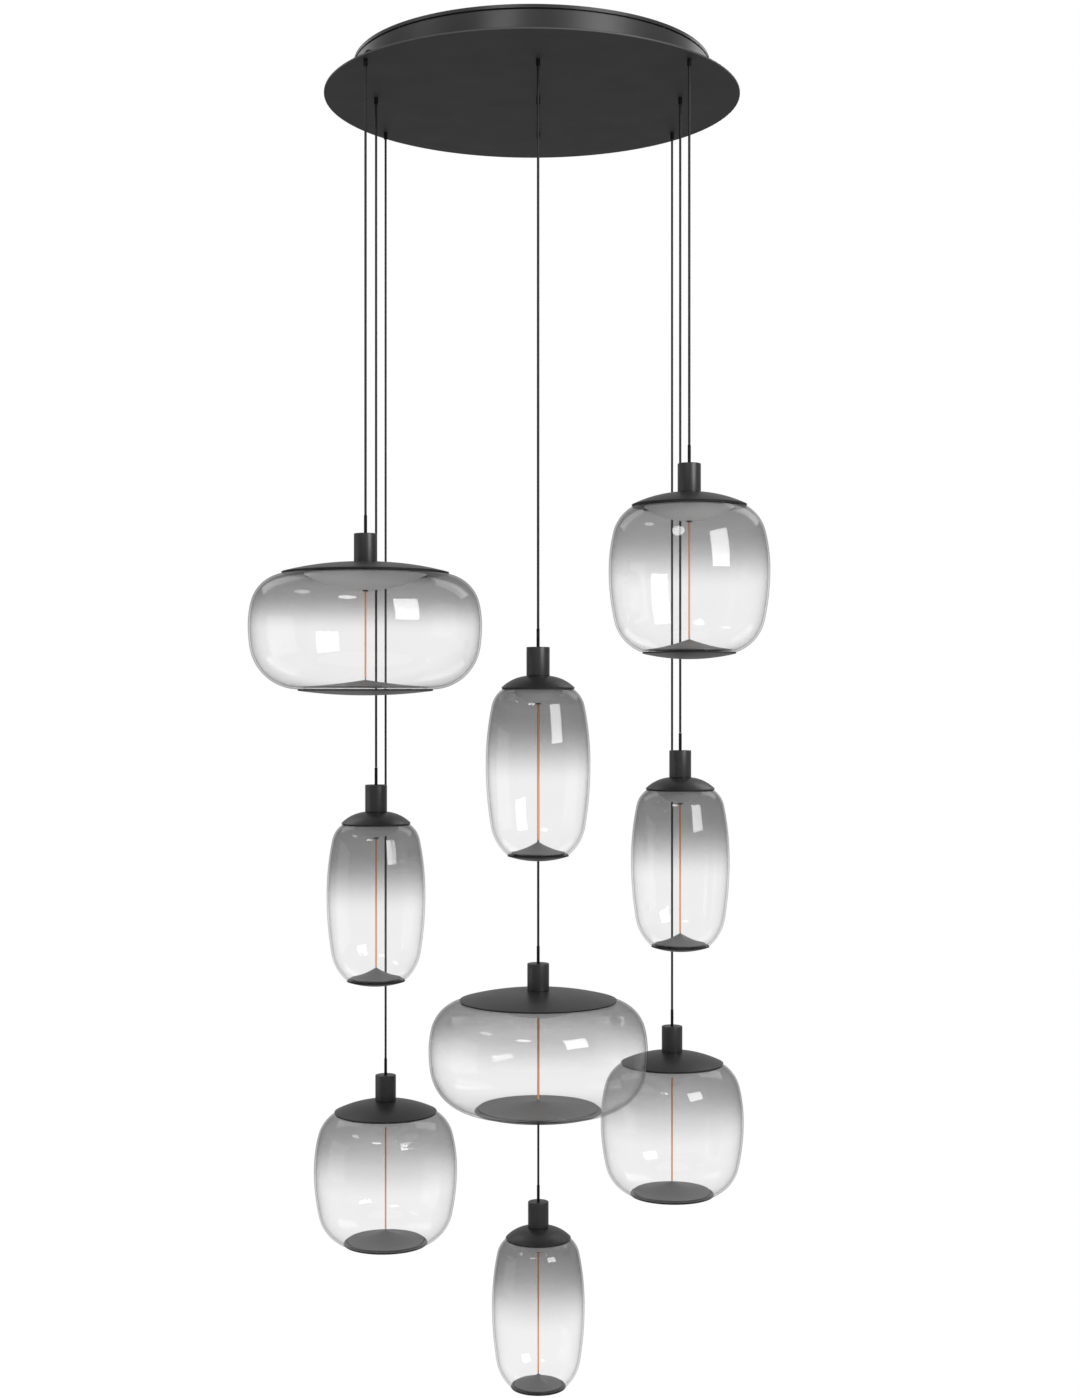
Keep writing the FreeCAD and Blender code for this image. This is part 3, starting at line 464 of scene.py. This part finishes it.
def smoked_glass(form, top, bottom):
    """Clear glass with a smoke tint that fades out from top to bottom, in depths, and painted
    shade where the wall is seen edge on.
    """
    glass = bpy.data.materials.new(f"smoked_glass_{form}")
    glass.use_nodes = True
    nodes = glass.node_tree.nodes
    link = glass.node_tree.links.new
    nodes.remove(nodes["Principled BSDF"])
    place = nodes.new("ShaderNodeTexCoord")
    height = nodes.new("ShaderNodeSeparateXYZ")
    fade = nodes.new("ShaderNodeMapRange")
    fade.inputs["From Min"].default_value = -top
    fade.inputs["From Max"].default_value = -bottom
    tint = nodes.new("ShaderNodeValToRGB")
    tint.color_ramp.interpolation = "EASE"
    tint.color_ramp.elements[0].color = (*[SMOKE[form]] * 3, 1)
    tint.color_ramp.elements[1].color = (CLEAR, CLEAR, CLEAR, 1)
    thinned = tint.color_ramp.elements.new(SMOKE_FADES_AT)
    thinned.color = (*[SMOKE[form] + SMOKE_THINNED] * 3, 1)
    edge = nodes.new("ShaderNodeLayerWeight")
    edge.inputs["Blend"].default_value = 0.5
    # painted shade: the tint is darkened towards the edges, where the wall is seen edge on
    rim = nodes.new("ShaderNodeMapRange")
    rim.inputs["From Min"].default_value = EDGE_FROM
    rim.inputs["To Min"].default_value = 1.0
    rim.inputs["To Max"].default_value = EDGE_PAINTED_SHADE
    shade = nodes.new("ShaderNodeMix")
    shade.data_type = "RGBA"
    shade.blend_type = "MULTIPLY"
    shade.inputs["Factor"].default_value = 1.0
    through = nodes.new("ShaderNodeBsdfTransparent")
    shine = nodes.new("ShaderNodeBsdfGlossy")
    shine.inputs["Roughness"].default_value = SHEEN_ROUGHNESS
    grazing = nodes.new("ShaderNodeMath")
    grazing.operation = "POWER"
    grazing.inputs[1].default_value = SHEEN_FALLOFF
    fresnel = nodes.new("ShaderNodeMapRange")
    fresnel.inputs["To Min"].default_value = SHEEN_FACING
    fresnel.inputs["To Max"].default_value = SHEEN_GRAZING
    mix = nodes.new("ShaderNodeMixShader")
    link(place.outputs["Object"], height.inputs["Vector"])
    link(height.outputs["Z"], fade.inputs["Value"])
    link(fade.outputs["Result"], tint.inputs["Fac"])
    link(edge.outputs["Facing"], rim.inputs["Value"])
    link(tint.outputs["Color"], shade.inputs["A"])
    link(rim.outputs["Result"], shade.inputs["B"])
    link(shade.outputs["Result"], through.inputs["Color"])
    link(edge.outputs["Facing"], grazing.inputs[0])
    link(grazing.outputs[0], fresnel.inputs["Value"])
    link(fresnel.outputs["Result"], mix.inputs["Fac"])
    link(through.outputs["BSDF"], mix.inputs[1])
    link(shine.outputs["BSDF"], mix.inputs[2])
    link(mix.outputs["Shader"], nodes["Material Output"].inputs["Surface"])
    return glass


glass_meshes = {}
FEET = {}
for form, (rim_r, rim_heading, turns) in MOULDS.items():
    rise = (rim_r - CROWN_FLAT) * math.tan(math.radians(rim_heading) / 2)
    crown_radius = (rim_r - CROWN_FLAT) / math.sin(math.radians(rim_heading))
    start = (CROWN_FLAT, GLASS_RIM[form] - rise, 0)
    turns = [(crown_radius, rim_heading)] + turns
    outside = [(CROWN_HOLE, start[1])] + arc_points(start, turns, 0, 16)
    inside = [(CROWN_HOLE, start[1] + GLASS)] + arc_points(start, turns, GLASS, 16)
    foot_r, foot = outside[-1]
    FEET[form] = (foot_r, foot, inside[-1][1])
    ledge = [(foot_r - LEDGE, foot), (foot_r - LEDGE, inside[-1][1])]
    fade_end = GLASS_RIM[form] + FADE[form] * (foot - GLASS_RIM[form])
    glass = smoked_glass(form, GLASS_RIM[form], fade_end)
    glass_meshes[form] = turned_mesh(f"blown_shade_{form}", outside + ledge + inside[::-1], glass)
for pendant in PENDANTS:
    hang(glass_meshes[pendant[2]], "blown_shade", pendant, "glass_shade")

# --------------------------------------------------------------------------------------
# The light sources: a light grey spun dish under the crown, a small dark socket in its
# middle, a straight amber filament and a grey end pin that stands on the cone.

DISH_HOLE_R = 0.00305
DISH_BRIM = 0.0015  # upright edge over the glass's rim
SOCKET_R = 0.00375
SOCKET_HEIGHT = 0.002
SOCKET_SUNK = 0.001
FILAMENT_R = 0.0013
PIN_R = 0.0009
PIN_SHOWN = 0.0027
PIN_HIDDEN = 0.004
PAINTED_GLOW_AMBER = (0.62, 0.26, 0.12, 1)

# radius of the dish, depth of its bottom and of the cone's tip above the foot's inside
DISHES = {
    "tall": (0.034, 0.0176, 0.0151),
    "square": (0.061, 0.0183, 0.015),
    "wide": (0.083, 0.021, 0.0104),
}

dish_grey = plain_finish("dish_grey", (0.93, 0.93, 0.93), 0.45, grain=500, gloss=0.5)
socket_black = plain_finish("socket_black", (0.03, 0.03, 0.03), 0.4)
pin_grey = plain_finish("pin_grey", (0.25, 0.25, 0.26), 0.4, metal=0.6)
amber = plain_finish("amber_phosphor_painted_glow", (0.60, 0.26, 0.12), 0.4, grain=600)
# painted glow: the unlit filament's amber phosphor is given a faint emission
shader = amber.node_tree.nodes["Principled BSDF"]
shader.inputs["Emission Color"].default_value = PAINTED_GLOW_AMBER
shader.inputs["Emission Strength"].default_value = 0.25


def rod_mesh(name, radius, top, bottom, finish):
    """A solid rod on the axis between two depths."""
    return turned_mesh(name, [(0, top), (radius, top), (radius, bottom), (0, bottom)], finish)


light_meshes = {}
CONE_TIPS = {}
for form, (dish_r, dish_drop, cone_height) in DISHES.items():
    dish = GLASS_RIM[form] + dish_drop
    tip = FEET[form][2] - cone_height
    CONE_TIPS[form] = tip
    start, turns = single_arc((DISH_HOLE_R, dish), 0, (dish_r, GLASS_RIM[form]))
    brim = GLASS_RIM[form] - DISH_BRIM
    filament_top = dish + SOCKET_HEIGHT
    filament_foot = tip - PIN_SHOWN
    light_meshes[form] = {
        "dish": turned_mesh(
            f"dish_{form}",
            arc_points(start, turns, 0, 16)
            + [(dish_r, brim), (dish_r - WALL, brim)]
            + arc_points(start, turns, -WALL, 16)[::-1],
            dish_grey,
        ),
        "socket": rod_mesh(
            f"socket_{form}", SOCKET_R, dish - SOCKET_SUNK, filament_top, socket_black
        ),
        "filament": rod_mesh(f"filament_{form}", FILAMENT_R, filament_top, filament_foot, amber),
        "end_pin": rod_mesh(f"end_pin_{form}", PIN_R, filament_foot, tip + PIN_HIDDEN, pin_grey),
    }
for pendant in PENDANTS:
    for name, mesh in light_meshes[pendant[2]].items():
        hang(mesh, name, pendant, "light_unit" if name == "dish" else None)

# --------------------------------------------------------------------------------------
# The feet: a grey cone with hollow sides inside the glass, and under it a seal and a
# shallow foot cap, spun and enamelled black.

FOOT_SEAL = 0.0018
CONE_TIP_R = 0.0016
CONE_INSET = 0.006
FOOT_CAPS = {"tall": 0.007, "square": 0.0077, "wide": 0.0063}

cone_grey = plain_finish("cone_grey", (0.15, 0.15, 0.152), 0.38, grain=500, gloss=0.5, metal=0.35)
foot_meshes = {}
for form, cap_depth in FOOT_CAPS.items():
    foot_r, foot, foot_inner = FEET[form]
    tip = (CONE_TIP_R, CONE_TIPS[form])
    brim = (foot_r - CONE_INSET, foot_inner - WALL)
    slope = math.degrees(math.atan2(brim[1] - tip[1], brim[0] - tip[0]))
    start, turns = single_arc(tip, 1.5 * slope, brim)
    edge = foot + FOOT_SEAL
    low_start, low_turns = single_arc((0, edge + cap_depth), 0, (foot_r, edge))
    inner = arc_points(low_start, low_turns, -WALL, 24)
    foot_meshes[form] = {
        "foot_cap": turned_mesh(
            f"foot_cap_{form}",
            arc_points(low_start, low_turns, 0, 24) + [(inner[-1][0], edge)] + inner[-2::-1],
            satin_black,
        ),
        "foot_seal": turned_mesh(
            f"foot_seal_{form}",
            [
                (foot_r - LEDGE, foot),
                (foot_r - SEAL_INSET, foot),
                (foot_r - SEAL_INSET, edge),
                (foot_r - LEDGE, edge),
            ],
            seal_rubber,
        ),
        "cone": turned_mesh(
            f"cone_{form}",
            arc_points(start, turns, 0, 16)
            + [(brim[0], foot_inner)]
            + arc_points(start, turns, WALL, 16)[::-1],
            cone_grey,
        ),
    }
for pendant in PENDANTS:
    for name, mesh in foot_meshes[pendant[2]].items():
        hang(mesh, name, pendant, "foot_cap" if name == "foot_cap" else None)
